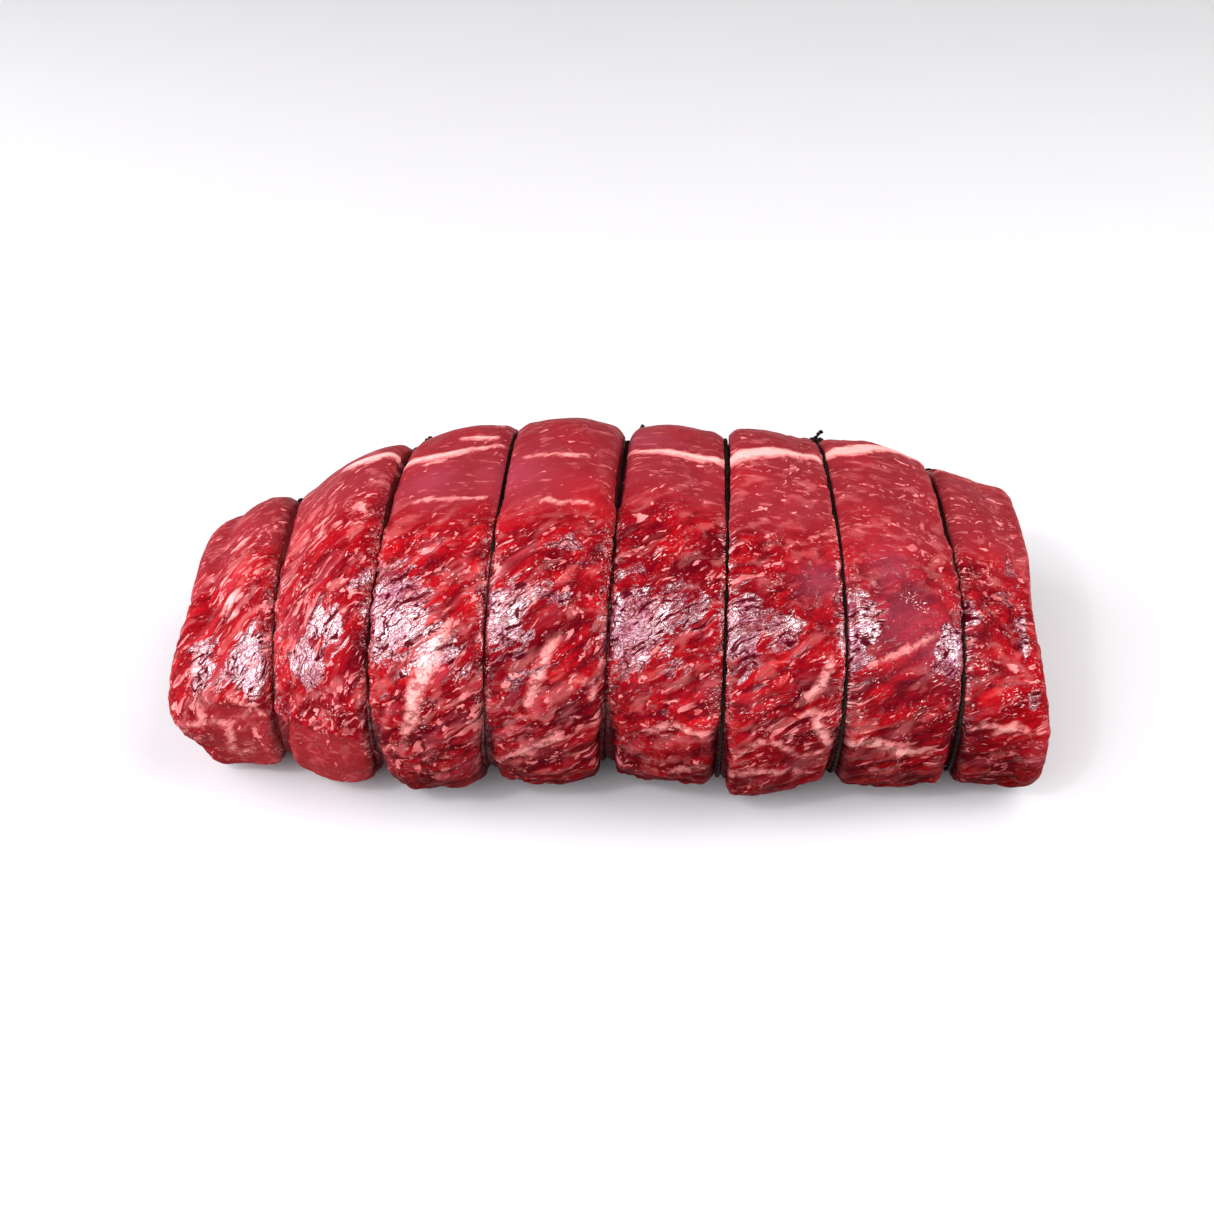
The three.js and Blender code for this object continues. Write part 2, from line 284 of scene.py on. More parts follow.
def skin(s, angle, lift=0.0, rim=0.0):
    """Points of the meat's smooth skin. s and angle broadcast. rim goes from 0 to 1 over an
    end's rounded edge, and lift raises the point off the skin."""
    s, angle, lift, rim = np.broadcast_arrays(s, angle, lift, rim)
    s = s.astype(float)
    lobe = lobe_of(s)
    full = fullness(s)
    front = along(STATION_FRONT, s) + LOBE_FRONT_BULGE[lobe] * full
    back = along(STATION_BACK, s) + BACK_BULGE * full
    top = along(STATION_TOP, s) + LOBE_TOP_BULGE[lobe] * full
    floor = TIE_LIFT * (1 - full)
    middle_z = floor + MIDDLE_HEIGHT * (top - floor)
    half_width = (front + back) / 2

    def rounded(direction):
        up = np.sin(direction) > 0
        reach = np.where(up, top - middle_z, middle_z - floor + UNDER_SAG * full)
        power = np.where(up, TOP_SQUARENESS, BOTTOM_SQUARENESS)
        across = np.abs(np.cos(direction) / half_width) ** power
        upright = np.abs(np.sin(direction) / reach) ** power
        return (across + upright) ** (-1 / power)

    r = rounded(angle)
    for flat_lobe, degrees, depth in FRONT_FLATS:
        direction = np.radians(degrees)
        facing = np.cos(angle - direction)
        limit = (rounded(direction) - depth * full) / np.maximum(facing, FLAT_REACH)
        cut = (lobe == flat_lobe) & (facing > FLAT_REACH)
        r = np.where(cut, np.minimum(r, limit), r)
    r = r + unevenness(s, angle) + lift

    x = along(STATION_X, s)
    for end, away in ((LEFT_END, s), (RIGHT_END, LOBES - s)):
        fade = np.clip(1 - away / REACH_FADE, 0, 1) ** 2
        x = x + end["side"] * around(end["reach"], angle) * fade
        here = away == 0
        r = r - here * end["inset"] * (1 - np.cos(rim * np.pi / 2))
        x = x + here * end["side"] * end["length"] * np.sin(rim * np.pi / 2)
    y = (back - front) / 2 + r * np.cos(angle)
    z = np.maximum(middle_z + r * np.sin(angle), 0)
    x = x + along(STATION_LEAN, s) * y + along(STATION_RAKE, s) * (z - RAKE_HEIGHT)
    x = np.maximum(x, UNDERCUT_X + UNDERCUT_SLOPE * np.maximum(UNDERCUT_BELOW - z, 0))
    return np.stack([x, y, z], -1)


def closed_over(tie, degrees):
    """1 where the meat closes over a tie, 0 where the twine is bare."""
    out, into = CLOSING
    closed = np.zeros_like(degrees)
    for which, start, stop, share in CLOSED:
        over = between(start - out, start + into, stop - into, stop + out, degrees)
        closed = np.maximum(closed, over * share * (tie == which))
    return closed


# Noise for the relief, in units of its own cells

HASH_AXES = (73856093, 19349663, 83492791)
HASH_SEED = 2654435761
HASH_MIXES = ((15, 2246822519), (13, 3266489917))
HASH_BITS = 0xFFFFFFFF
HASH_KEPT = 0xFFFFFF
FINER_SCALE = 2.03
FINER_OFFSET = 17.3


def hashed(cells, seed):
    """A random number from 0 to 1 for each whole-numbered cell."""
    x, y, z = (cells[..., n] * HASH_AXES[n] for n in range(3))
    h = (x ^ y ^ z ^ (seed * HASH_SEED)) & HASH_BITS
    for bits, factor in HASH_MIXES:
        h = ((h ^ (h >> bits)) * factor) & HASH_BITS
    return ((h ^ (h >> 16)) & HASH_KEPT) / HASH_KEPT


def noise(points, seed):
    """Smooth noise from -1 to 1."""
    cell = np.floor(points).astype(np.int64)
    f = points - cell
    f = f * f * (3 - 2 * f)
    total = 0
    for corner in np.ndindex(2, 2, 2):
        corner = np.array(corner)
        weight = np.prod(np.where(corner == 1, f, 1 - f), -1)
        total = total + weight * hashed(cell + corner, seed)
    return total * 2 - 1


def layered(points, seed):
    """Smooth noise from -1 to 1, with a finer noise on top."""
    finer = noise(points * FINER_SCALE + FINER_OFFSET, seed + 1)
    return (noise(points, seed) + finer / 2) / 1.5


def bundles(points, seed):
    """Random cells: how far each point is from their border, 0 on it, and its cell's own number."""
    cell = np.floor(points).astype(np.int64)
    nearest = np.full(points.shape[:-1], 9.0)
    second = nearest.copy()
    own = np.zeros_like(nearest)
    for step in np.ndindex(3, 3, 3):
        there = cell + np.array(step) - 1
        centre = np.stack([hashed(there, seed + n) for n in range(3)], -1) + there
        away = np.linalg.norm(points - centre, axis=-1)
        own = np.where(away < nearest, hashed(there, seed + 3), own)
        second = np.minimum(second, np.maximum(nearest, away))
        nearest = np.minimum(nearest, away)
    return second - nearest, own


# Places of what the photograph shows, as place along the roast and direction in degrees

# Fat seams and veins, each a list of (place, degrees, half width in mm)
SEAMS = [
    [(1.52, 59, 1.1), (1.62, 60, 2), (1.74, 61, 2.3), (1.85, 60, 1.8), (1.96, 59, 1.4)],
    [(2.03, 67, 1.4), (2.12, 67, 1.5), (2.3, 68, 1.5), (2.5, 67, 1.2), (2.68, 65, 0.8), (2.93, 62, 0.4)],
    [(2.26, 73, 0.3), (2.37, 72, 0.4), (2.45, 71, 0.2)],
    [(2.55, 57, 0.7), (2.68, 57, 1.2), (2.84, 57, 0.9)],
    [(3.16, 74, 0.2), (3.48, 78, 0.35), (3.7, 79, 0.15)],
    [(4.03, 70, 0.3), (4.2, 74, 0.8), (4.4, 74, 1.3), (4.6, 74, 1.5), (4.8, 72, 1.4), (4.96, 70, 1.2)],
    [(5.03, 70, 2.2), (5.15, 70, 2.5), (5.35, 68, 2.2), (5.56, 65, 1.8), (5.75, 62, 1.4), (5.93, 59, 1.1)],
    [(6.05, 54, 2.2), (6.23, 52, 2.7), (6.42, 47, 2.6), (6.58, 43, 2.1), (6.76, 41, 1.4), (6.93, 39, 0.8)],
    [(7.06, 37, 0.5), (7.3, 33, 0.7), (7.6, 29, 0.5), (7.9, 26, 0.3)],
    [(2.25, 96, 0.15), (2.36, 95, 0.4), (2.55, 96, 0.3), (2.87, 95, 0.25)],
    [(3.36, 103, 0.2), (3.41, 102, 0.5), (3.51, 104, 0.3), (3.67, 104, 0.2), (3.77, 105, 0.3)],
    [(2.71, 142, 0.6), (2.63, 147, 1.6), (2.55, 152, 2.3), (2.49, 157, 2.2),
     (2.42, 162, 1.6), (2.41, 167, 1.5), (2.33, 173, 0.7)],
    [(3.6, 148, 0.5), (3.51, 153, 1), (3.43, 160, 1.2), (3.35, 167, 0.7)],
    [(3.74, 159, 0.4), (3.83, 160, 0.6), (3.88, 162, 0.5), (3.87, 166, 0.3)],
    [(4.3, 178, 0.2), (4.42, 176, 0.6), (4.57, 174, 0.5), (4.8, 175, 0.7), (4.95, 174, 0.3)],
    [(4.55, 193, 0.3), (4.68, 191, 0.9), (4.85, 188, 0.8)],
    [(3.1, 188, 0.6), (3.25, 185, 1), (3.43, 182, 1.1), (3.62, 180, 0.6)],
    [(5.86, 150, 0.5), (5.82, 156, 0.9), (5.74, 160, 0.9), (5.63, 163, 0.6)],
    [(5.65, 167, 0.4), (5.79, 166, 0.8), (5.79, 170, 1), (5.86, 175, 1.1), (5.93, 178, 0.5)],
    [(6.05, 177, 1), (6.2, 176, 1.5), (6.35, 177, 1.4),
     (6.48, 179, 1.5), (6.62, 180, 1), (6.78, 178, 0.5)],
    [(6.2, 152, 0.2), (6.4, 149, 0.45), (6.58, 146, 0.35), (6.76, 143, 0.2)],
    [(6.3, 188, 0.4), (6.5, 186, 0.5)],
    [(7.15, 171, 0.4), (7.27, 170, 0.7), (7.42, 169, 0.3)],
    [(7.42, 172, 0.4), (7.56, 169, 1.2), (7.72, 168, 0.9), (7.86, 169, 0.3)],
    [(5.04, 190, 1), (5.25, 186, 0.9), (5.48, 187, 0.7), (5.8, 190, 0.4)],
    [(5.12, 181, 0.2), (5.28, 176, 0.5), (5.42, 175, 0.3),
     (5.54, 178, 0.4), (5.68, 182, 0.2), (5.84, 181, 0.3)],
    [(-0.24, 168, 0.2), (0, 169, 0.5), (0.17, 169, 0.6),
     (0.38, 172, 0.7), (0.41, 179, 0.8), (0.28, 190, 0.5)],
    [(0.12, 162, 0.3), (0.15, 166, 0.6), (0.17, 169, 0.5)],
    [(0.59, 161, 0.3), (0.66, 164, 0.5), (0.72, 167, 0.4), (0.8, 170, 0.3), (0.86, 171, 0.2)],
    [(0.38, 172, 0.4), (0.55, 171, 0.3), (0.72, 167, 0.3)],
    [(0.28, 190, 0.4), (0.4, 191, 0.6), (0.52, 189, 0.5), (0.62, 188, 0.2)],
    [(0.4, 76, 0.6), (0.47, 74, 1), (0.52, 72, 0.5)],
    [(0.5, 131, 0.8), (0.56, 129, 0.9)],
    [(0.4, 126, 1.4), (0.48, 121, 1.9), (0.58, 117, 0.7)],
    [(-0.3, 100, 0.8), (-0.2, 96, 1.1)],
    [(0.28, 106, 0.9), (0.42, 99, 0.8)],
    [(0.78, 108, 0.7), (0.88, 106, 0.5)],
]

# Wet, finely wrinkled patches: (place, degrees, radius along and round in mm, strength)
WRINKLED = [
    (0.12, 147, 5, 8, 0.8), (0.74, 149, 5, 10, 1), (0.45, 153, 5, 5, 0.5), (1.6, 141, 6, 7, 0.8),
    (1.4, 152, 7, 7, 0.9), (1.88, 128, 3, 4, 0.7), (7.9, 110, 3, 6, 0.5),
    (2.22, 139, 9, 14, 1), (2.6, 150, 9, 10, 0.6), (3.16, 142, 7, 9, 1), (3.5, 137, 9, 5, 0.58),
    (3.3, 158, 8, 8, 0.45), (4.2, 145, 8, 12, 1), (4.55, 139, 12, 8, 0.68), (4.5, 154, 9, 8, 0.45),
    (5.14, 143, 6, 11, 0.9), (5.45, 143, 10, 8, 0.6), (6.1, 144, 6, 11, 0.9), (6.86, 149, 5, 8, 0.9),
    (7.06, 135, 4, 9, 0.5), (7.6, 125, 5, 7, 0.45), (8, 138, 2, 10, 0.7), (2.5, 115, 6, 3, 0.3),
    (8, 112, 1.5, 4, 0.6), (8, 160, 1.5, 5, 0.7),
    (3.6, 121, 7, 3, 0.6), (1.4, 25, 12, 12, 0.32), (3.5, 20, 12, 14, 0.35), (6.4, 18, 14, 14, 0.35),
]

# Bright scarlet patches: (place, degrees, radius in mm)
SCARLET = [
    (3.2, 117, 8), (3.75, 99, 9), (5.13, 84, 8), (6.28, 100, 9), (4.8, 168, 8), (3.72, 137, 7),
    (2.93, 127, 6), (3.66, 158, 6), (0.1, 128, 9), (0.6, 103, 7), (1.2, 85, 8), (2.2, 118, 8),
    (7.5, 105, 7), (5.5, 150, 7), (7.3, 160, 8), (5.4, 30, 10), (2.5, 15, 11), (7.0, 10, 9),
]

# Greyish film over the lean, partly a thin membrane and partly painted sheen: (place, degrees, radius in
# mm)
FILM_AND_SHEEN = [
    (3.1, 84, 8), (2.35, 84, 7), (6.5, 140, 11), (6.75, 146, 8), (6.4, 122, 7), (5.8, 128, 6),
    (4.2, 62, 7),
]

# Upper edge of the knife-cut flats: (place, degrees)
CREASES = [
    [(-0.84, 162), (-0.4, 161), (0.23, 161), (0.64, 164), (0.97, 168)],
    [(1.04, 171), (1.2, 173), (1.45, 176), (1.7, 178), (1.96, 179)],
]
CREASE_FADE_X = (-109, -96)
CREASE_START = 0.3  # of the way from tie to tie, over which a crease begins and ends
CREASE_END = 0.12
CREASE_ARC = 0.85  # mm a degree

# The roast's left tip, as place and direction in degrees
TIP_AT = (-0.6, 166)
TIP_REACH = 1.8
TIP_RADIUS = 8

# Direction of the grain in the picture, in degrees, for each lobe
GRAIN_SLOPE = [56, 54, 46, 40, 38, 36, 26, 18]
GRAIN_STRETCH = 3.2
GRAIN_OFFSET = 40.0  # keeps the noise of one lobe from running on in the next
SEAM_STEPS = 6
SEAM_REACH = 9
# Direction in degrees from which down each lobe is densely marbled, how densely, and the blur
FLECKS_FROM = [60, 62, 96, 102, 96, 60, 54, 48]
FLECKS_SHARE = [0.95, 0.9, 0.85, 0.85, 0.6, 0.65, 0.5, 0.65]
FLECKS_BLUR = (-8, 26)
# and from which down it is rough
ROUGH_FROM = [84, 88, 98, 102, 98, 104, 112, 108]
ROUGH_BLUR = (-8, 22)
# Sizes of the noise by which those edges and the marbling wander, and its reach in degrees
WANDER_SIZE = 11
WANDER_FINE_SIZE = 6
WANDER_DEGREES = 9


def ring_places():
    """The place of each ring between the two rims, closer together beside the ties."""
    places = []
    for lobe in range(LOBES):
        pitch = STATION_X[lobe + 1] - STATION_X[lobe]
        before = [0, *STEPS_BY_TIE] if lobe > 0 else [0]
        after = STEPS_BY_TIE[::-1] if lobe < LOBES - 1 else [0]
        start = before[-1]
        stop = pitch - after[0]
        middle = np.linspace(start, stop, round((stop - start) / STEP_ALONG) + 1)
        steps = [*before[:-1], *middle, *(pitch - d for d in after[1:])]
        places += [lobe + d / pitch for d in steps]
    return np.array(places)


def round_angles():
    first, last = np.radians(FRONT_ARC)
    front = np.linspace(first, last, FRONT_POINTS, endpoint=False)
    hidden = np.linspace(last, first + 2 * np.pi, HIDDEN_POINTS, endpoint=False)
    return np.concatenate([front, hidden])


def face_rings(edge, end):
    """Rings over an end's bulging face, from its edge inwards, and the face's middle."""
    share = (1 - np.arange(1, FACE_STEPS) / FACE_STEPS)[:, None, None]
    middle = edge.mean(0)
    dome = np.array([end["side"] * end["dome"], 0, 0])
    face = middle + (edge - middle) * share + dome * (1 - share ** 2)
    return face, middle + dome


def meat_rings():
    """The smooth skin as rings of points, each ring's place, and the two faces' middles."""
    angles = round_angles()[None, :]
    body = ring_places()[:, None]
    rim = np.linspace(0, 1, RIM_STEPS + 1)[1:, None]
    left_rim = skin(np.zeros_like(rim), angles, rim=rim)[::-1]
    right_rim = skin(np.full_like(rim, LOBES), angles, rim=rim)
    left_face, left_tip = face_rings(left_rim[0], LEFT_END)
    right_face, right_tip = face_rings(right_rim[-1], RIGHT_END)
    rings = [left_face[::-1], left_rim, skin(body, angles), right_rim, right_face]
    end_rings = RIM_STEPS + FACE_STEPS - 1
    places = [np.zeros(end_rings), body[:, 0], np.full(end_rings, LOBES)]
    return np.concatenate(rings), np.concatenate(places), np.stack([left_tip, right_tip])


SMOOTH_SKIN = meat_rings()[0].reshape(-1, 3)
SKIN_LOW, SKIN_HIGH = SMOOTH_SKIN.min(0), SMOOTH_SKIN.max(0)


def cad_fit(points):
    """Moves points of the smooth skin, by a fraction of a mm, onto the CAD solid's own box."""
    low, high = (np.array(corner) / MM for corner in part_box("roast"))
    return low + (points - SKIN_LOW) / (SKIN_HIGH - SKIN_LOW) * (high - low)


def unit(vectors):
    return vectors / np.maximum(np.linalg.norm(vectors, axis=-1, keepdims=True), 1e-9)


def normals_of(rings):
    along_rings = np.gradient(rings, axis=0)
    round_rings = np.roll(rings, -1, axis=1) - np.roll(rings, 1, axis=1)
    return unit(np.cross(round_rings, along_rings))


def spot(points, place, degrees, radius_along, radius_round):
    """1 at a spot of the skin, falling to 0 round it."""
    d = points - skin(place, np.radians(degrees))
    across = np.abs(d[..., 0]) / radius_along
    rest = np.linalg.norm(d[..., 1:], axis=-1) / radius_round
    return np.exp(-(across ** 2 + rest ** 2))


def strongest(points, spots):
    """The strongest at each point of spots like those of WRINKLED, or of SCARLET."""
    felt = np.zeros(points.shape[:-1])
    for s, degrees, radius, *rest in spots:
        radius_round, strength = rest or (radius, 1.0)
        felt = np.maximum(felt, strength * spot(points, s, degrees, radius, radius_round))
    return felt


def vein_distance(points):
    """Distance in mm from the edge of the nearest fat seam or vein, below zero inside it."""
    distance = np.full(points.shape[:-1], FAR)
    for seam in SEAMS:
        knots = np.array(seam, float)
        places = np.linspace(0, len(knots) - 1, SEAM_STEPS * (len(knots) - 1) + 1)
        s, degrees, half = (along(knots[:, n], places) for n in range(3))
        line = skin(s, np.radians(degrees))
        x = points[..., 0]
        near = (x > line[:, 0].min() - SEAM_REACH) & (x < line[:, 0].max() + SEAM_REACH)
        some = points[near]
        best = np.full(len(some), FAR)
        for i in range(len(line) - 1):
            step = line[i + 1] - line[i]
            t = np.clip((some - line[i]) @ step / (step @ step), 0, 1)
            width = half[i] + (half[i + 1] - half[i]) * t
            away = np.linalg.norm(some - line[i] - t[:, None] * step, axis=-1) - width
            best = np.minimum(best, away)
        distance[near] = np.minimum(distance[near], best)
    return distance


def by_lobe(values, place):
    return np.array(values)[lobe_of(place)]


def grain_points(points, place):
    """The points pressed together along each lobe's grain, so that noise there is stretched."""
    slope = np.radians(by_lobe(GRAIN_SLOPE, place))
    rise = np.radians(CAMERA_ELEVATION)
    across, up = np.cos(slope), np.sin(slope)
    grain = np.stack([across, up * np.sin(rise), up * np.cos(rise)], -1)
    length = np.sum(points * grain, -1, keepdims=True)
    offset = GRAIN_OFFSET * lobe_of(place)[..., None] * np.array([0, 1, 0])
    return points - grain * length * (1 - 1 / GRAIN_STRETCH) + offset


def tie_fields(points, place, degrees):
    """Distance in mm from the nearest tie, how far the meat closes over it, and the depth of
    the gap beside it."""
    distance = np.full(place.shape, FAR)
    closed = np.zeros(place.shape)
    for tie in TIES:
        x = STATION_X[tie] + STATION_LEAN[tie] * points[..., 1]
        distance = np.minimum(distance, np.abs(points[..., 0] - x))
        closed = np.maximum(closed, closed_over(tie, degrees) * (np.abs(place - tie) < 0.5))
    nearest = np.clip(np.round(place).astype(int), 1, LOBES - 1) - 1
    distance = np.maximum(distance - np.array(TIE_WIDEN)[nearest], 0)
    crevice = between(*FRONT_CREVICE, degrees) + between(*BACK_CREVICE, degrees)
    return distance, closed, crevice * np.array(CREVICE_BY_TIE)[nearest]


def lower_part(edges, blur, place, degrees):
    """1 below each lobe's own edge, 0 above it."""
    edge = by_lobe(edges, place)
    return ease(edge + blur[0], edge + blur[1], degrees)


def meat_fields(points, place, angle):
    """What the meat looks like at each point, as numbers that its relief and colour share."""
    degrees = np.degrees(angle) % 360
    height = points[..., 2]
    grain = grain_points(points, place)
    seen = 1 - ease(*UNDERSIDE, degrees)
    left = 1 - ease(*LEFT_PART, place)
    wander = layered(points / WANDER_SIZE, 5)
    wandering = degrees + WANDER_DEGREES * wander
    flecked = lower_part(FLECKS_FROM, FLECKS_BLUR, place, wandering) * seen
    flecked = flecked * by_lobe(FLECKS_SHARE, place) + 0.25 * ease(*FRONT_FOOT, degrees) * seen
    rough = lower_part(ROUGH_FROM, ROUGH_BLUR, place, wandering) * seen
    back = 0.7 * (1 - ease(*BACK_TOP, degrees)) + 0.7 * ease(*BACK_FOOT, degrees)
    wrinkled = strongest(points, WRINKLED)
    film_and_sheen = strongest(points, FILM_AND_SHEEN)

    below, has_flat = below_crease(place, degrees, points[..., 0])
    cut = has_flat * ease(*CUT_EDGE, below)
    foot = (1 - ease(*FOOT, height)) * (1 - left)
    wander = wander + layered(points / WANDER_FINE_SIZE, 71)
    marbling = 0.2 + 0.52 * np.maximum(flecked, back) + 0.06 * left + 0.2 * wander
    marbling = marbling - 0.6 * film_and_sheen - 0.45 * cut - 0.4 * foot

    tie, closed, crevice = tie_fields(points, place, degrees)
    front = np.maximum(rough, back) * (1 - 0.6 * cut) * (1 - 0.22 * left)
    raised = front * (1 - 0.7 * wrinkled) * (1 - 0.7 * ease(*RIGHT_TIP, place))
    # Near the floor the meat gets painted shade, and fewer glints and drops
    low = 1 - 0.7 * ease(*LOW, height) - 0.3 * ease(*LOWEST, height)
    return dict(
        grain=grain * MM, front=front, raised=raised * lumps(points, grain), crevice=crevice,
        cut=cut, wrinkled=wrinkled, scarlet=strongest(points, SCARLET), film_and_sheen=film_and_sheen,
        marbling=np.clip(marbling, 0, 1), fat=vein_distance(points), tie=tie, closed=closed,
        low=low * (1 - 0.65 * left),
    )


def below_crease(place, degrees, x):
    """How far in mm each point is below the edge of its knife-cut flat, and whether it has one."""
    below = np.full(place.shape, -FAR)
    has = np.zeros(place.shape)
    for crease in CREASES:
        s, at = np.array(crease, float).T
        inside = between(s[0] - CREASE_START, s[0], s[-1] - CREASE_END, s[-1] + 0.02, place)
        inside = inside * ease(*CREASE_FADE_X, x)
        here = inside > has
        below = np.where(here, (degrees - np.interp(place, s, at)) * CREASE_ARC, below)
        has = np.maximum(has, inside)
    return below, has


def crease_relief(below, has):
    """The meat hangs over the edge of a knife-cut flat, and is drawn in under it."""
    return has * (hump(*LIP, below) - TUCK_DEPTH * between(*TUCK, below))


def lumps(points, grain):
    """Height in mm of the folds and of the muscle bundles, each at a level of its own."""
    warp = np.stack([noise(points / WARP_SIZE, 31 + n) for n in range(3)], -1)
    warped = grain + WARP * warp
    height = FOLD_HEIGHT * (np.abs(noise(warped / FOLD_SIZE, 41)) * 2 - 1) + FOLD_RAISE
    edge, _ = bundles(warped / BUNDLE_SIZE, 51)
    height -= falling(*BUNDLE_CLEFT, edge)
    edge, own = bundles(warped / SLAB_SIZE, 57)
    return height + SLAB_HEIGHT * (own - 0.5) * ease(*SLAB_EDGE, edge) - falling(*SLAB_CLEFT, edge)


def meat_relief(points, place, angle, fields):
    """Height of the fine relief over the smooth skin, in mm."""
    degrees = np.degrees(angle) % 360
    tie = fields["tie"]
    height = sum(rise * layered(points / size, seed) for size, rise, seed in SWELLS)
    height += fields["raised"]
    height += FAT_RISE * (1 - ease(*FAT_SLOPE, fields["fat"]))
    height += falling(*PLEATS, tie) * layered(points * PLEAT_STRETCH / PLEAT_SIZE, 61)
    height += hump(*SHOULDER, tie) - falling(*DIP, tie)
    height -= fields["crevice"] * hump(*CREVICE, tie)
    height += crease_relief(*below_crease(place, degrees, points[..., 0]))
    channel = 1 - ease(*CHANNEL_EDGE, tie)
    bare = CHANNEL_DEPTH * channel
    closed = falling(*CLOSED_DIP, tie)
    height = height * (1 - channel) - bare - (closed - bare) * fields["closed"]
    height += between(*FILLED, degrees) * hump(TIE_FILL, 0, TIE_FILL_REACH, tie)
    return height + TIP_REACH * spot(points, *TIP_AT, TIP_RADIUS, TIP_RADIUS)


def add_field(mesh, name, values):
    """Keeps a field as an attribute of the mesh. The two tips get their nearest ring's mean."""
    flat = np.concatenate([values.ravel(), values[[0, -1]].mean(1).ravel()])
    kind, key = ("FLOAT_VECTOR", "vector") if values.ndim == 3 else ("FLOAT", "value")
    attribute = mesh.attributes.new(name, kind, "POINT")
    attribute.data.foreach_set(key, flat.astype(np.float32))


def put(name, data):
    """Puts a mesh, camera or light in the scene."""
    thing = bpy.data.objects.new(name, data)
    bpy.context.scene.collection.objects.link(thing)
    return thing


def mesh_piece(name, points, faces):
    mesh = bpy.data.meshes.new(name)
    mesh.from_pydata((points * MM).tolist(), [], faces)
    mesh.validate()
    mesh.shade_smooth()
    return put(name, mesh)


def make_meat():
    """The meat: its skin with all its relief, each end closed by a fan of triangles."""
    rings, places, tips = meat_rings()
    place = np.broadcast_to(places[:, None], rings.shape[:2])
    angle = np.broadcast_to(round_angles(), rings.shape[:2])
    fields = meat_fields(rings, place, angle)
    relief = meat_relief(rings, place, angle, fields)
    points = cad_fit(rings + normals_of(rings) * relief[..., None])
    points[..., 2] = np.maximum(points[..., 2], 0)
    points = np.concatenate([points.reshape(-1, 3), cad_fit(tips)])

    index = np.arange(place.size).reshape(place.shape)
    nexts = np.roll(index, -1, axis=1)
    left = np.full_like(index[0], place.size)
    quads = np.stack([nexts[:-1], nexts[1:], index[1:], index[:-1]], -1)
    faces = quads.reshape(-1, 4).tolist()
    faces += np.stack([left, index[0], nexts[0]], -1).tolist()
    faces += np.stack([left + 1, nexts[-1], index[-1]], -1).tolist()
    piece = mesh_piece("beef_roast", points, faces)
    for name, values in fields.items():
        add_field(piece.data, name, values)
    return piece


# Twine

def carried_sides(ahead, closed):
    """Directions square to a path's own, carried along it without twisting."""
    side = np.cross(ahead[0], [0.3, 0.1, 1.0])
    sides = []
    for direction in ahead:
        side = unit(side - direction * (side @ direction))
        sides.append(side)
    side = np.array(sides)
    if not closed:
        return side
    end = side[-1] - ahead[0] * (side[-1] @ ahead[0])
    twist = math.atan2(end @ np.cross(ahead[0], side[0]), end @ side[0])
    fix = (-twist * np.arange(len(ahead)) / len(ahead))[:, None]
    return side * np.cos(fix) + np.cross(ahead, side) * np.sin(fix)


def strand(path, closed, turns, phase):
    """Points and faces of a round strand that winds round a path."""
    count = len(path)
    if closed:
        ahead = unit(np.roll(path, -1, axis=0) - np.roll(path, 1, axis=0))
    else:
        ahead = unit(np.gradient(path, axis=0))
    side = carried_sides(ahead, closed)
    other = np.cross(ahead, side)
    steps = np.arange(count) / (count if closed else count - 1)
    wind = (2 * np.pi * turns * steps + phase)[:, None]
    middle = path + STRAND_OFFSET * (side * np.cos(wind) + other * np.sin(wind))
    at = (2 * np.pi * np.arange(STRAND_SIDES) / STRAND_SIDES)[None, :, None]
    section = side[:, None] * np.cos(at) + other[:, None] * np.sin(at)
    points = middle[:, None] + STRAND_RADIUS * section

    index = np.arange(count * STRAND_SIDES).reshape(count, STRAND_SIDES)
    nexts = np.roll(index, -1, axis=1)
    quads = np.stack([index, nexts, np.roll(nexts, -1, 0), np.roll(index, -1, 0)], -1)
    faces = (quads if closed else quads[:-1]).reshape(-1, 4).tolist()
    if not closed:
        faces += [index[0][::-1].tolist(), index[-1].tolist()]
    return points.reshape(-1, 3), faces


def joined(parts):
    """The points and faces of several parts as one mesh."""
    points, faces = [], []
    for part_points, part_faces in parts:
        faces += [[v + len(points) for v in face] for face in part_faces]
        points += list(part_points)
    return np.array(points), faces


def even_steps(path, closed):
    """The same path with points an even step apart, and its length."""
    if closed:
        path = np.concatenate([path, path[:1]])
    pieces = np.linalg.norm(np.diff(path, axis=0), axis=1)
    length = np.concatenate([[0], np.cumsum(pieces)])
    at = np.linspace(0, length[-1], round(length[-1] / TWINE_STEP) + 1)
    even = np.stack([np.interp(at, length, path[:, n]) for n in range(3)], -1)
    return (even[:-1] if closed else even), length[-1]


def rope(path, closed):
    """A twisted twine along a path."""
    even, length = even_steps(path, closed)
    turns = round(length / LAY_LENGTH) if closed else length / LAY_LENGTH
    phases = [2 * np.pi * n / STRANDS for n in range(STRANDS)]
    return joined([strand(even, closed, turns, phase) for phase in phases])


